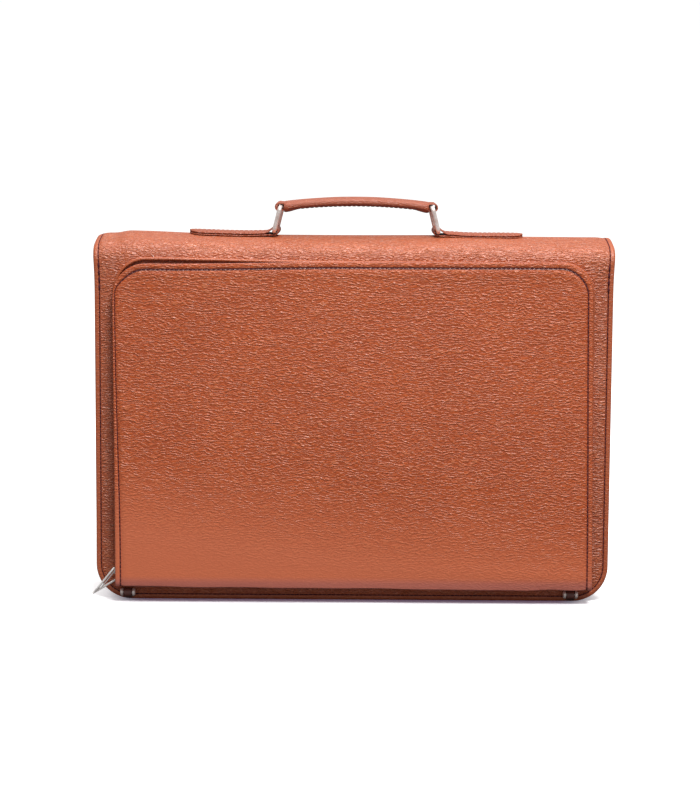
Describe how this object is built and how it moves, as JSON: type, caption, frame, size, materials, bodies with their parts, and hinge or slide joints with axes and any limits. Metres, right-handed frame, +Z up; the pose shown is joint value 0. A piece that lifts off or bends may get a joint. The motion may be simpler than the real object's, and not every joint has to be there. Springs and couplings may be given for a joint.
{
  "type": "file bag",
  "caption": "Upright leather file bag with one sheet running up the back, over the top and down as a flap, a zipped back pocket and a slim grip carried on metal rings",
  "frame": {"origin": "middle of the bounding box on the floor that the bag stands on", "axes": "+X along the bag's width, to the right as seen from the zipped pocket's side; -Y out of the zipped pocket; +Z up"},
  "size_m": [0.3938, 0.0874, 0.306],
  "materials": {
    "shell_leather": "tan pebble-grain leather, satin",
    "binding_leather": "smoother tan leather strip, satin",
    "gusset_leather": "tan pebble-grain leather, satin",
    "wall_leather": "tan pebble-grain leather, satin",
    "pocket_leather": "tan pebble-grain leather, satin",
    "handle_leather": "smooth tan leather, satin",
    "foot_leather": "dark brown leather, satin",
    "zip_cloth": "dark brown woven tape",
    "zip_metal": "satin nickel",
    "ring_metal": "satin nickel",
    "foot_metal": "satin nickel"
  },
  "bodies": {
    "bag": {"shell_sheet": "shell_leather", "edge_binding": "binding_leather", "gusset": "gusset_leather", "front_wall": "wall_leather", "pocket_front": "pocket_leather", "pocket_welt": "binding_leather", "zip_tape": "zip_cloth", "zip_teeth": "zip_metal", "zip_slider": "zip_metal", "tab_left": "handle_leather", "tab_right": "handle_leather", "foot_strap_left": "foot_leather", "foot_strap_right": "foot_leather", "foot_pin_left": "foot_metal", "foot_pin_right": "foot_metal"},
    "left_ring": {"ring_left": "ring_metal"},
    "right_ring": {"ring_right": "ring_metal"},
    "handle": {"handle_strap": "handle_leather", "handle_grip": "handle_leather"},
    "pull": {"zip_pull": "zip_metal"}
  },
  "joints": [
    {"name": "ring_left_swing", "type": "hinge", "parent": "bag", "child": "left_ring", "pos_m": [-0.05832, 0.0073, 0.2803], "axis": [0, 1, 0], "range_deg": [-30, 30]},
    {"name": "handle_swing", "type": "hinge", "parent": "left_ring", "child": "handle", "pos_m": [-0.05382, 0.0073, 0.2986], "axis": [0, 1, 0], "range_deg": [-33, 33]},
    {"name": "ring_right_swing", "type": "hinge", "parent": "bag", "child": "right_ring", "pos_m": [0.06468, 0.0073, 0.2803], "axis": [0, 1, 0], "range_deg": [-31, 31]},
    {"name": "zip_pull_swing", "type": "hinge", "parent": "bag", "child": "pull", "pos_m": [-0.17652, -0.03596, 0.0232], "axis": [0, 1, 0], "range_deg": [-6, 120]}
  ],
  "couplings": [
    {"joint": "handle_swing", "follows": "ring_left_swing", "ratio": -1.0755},
    {"joint": "ring_right_swing", "follows": "ring_left_swing", "ratio": 1}
  ]
}
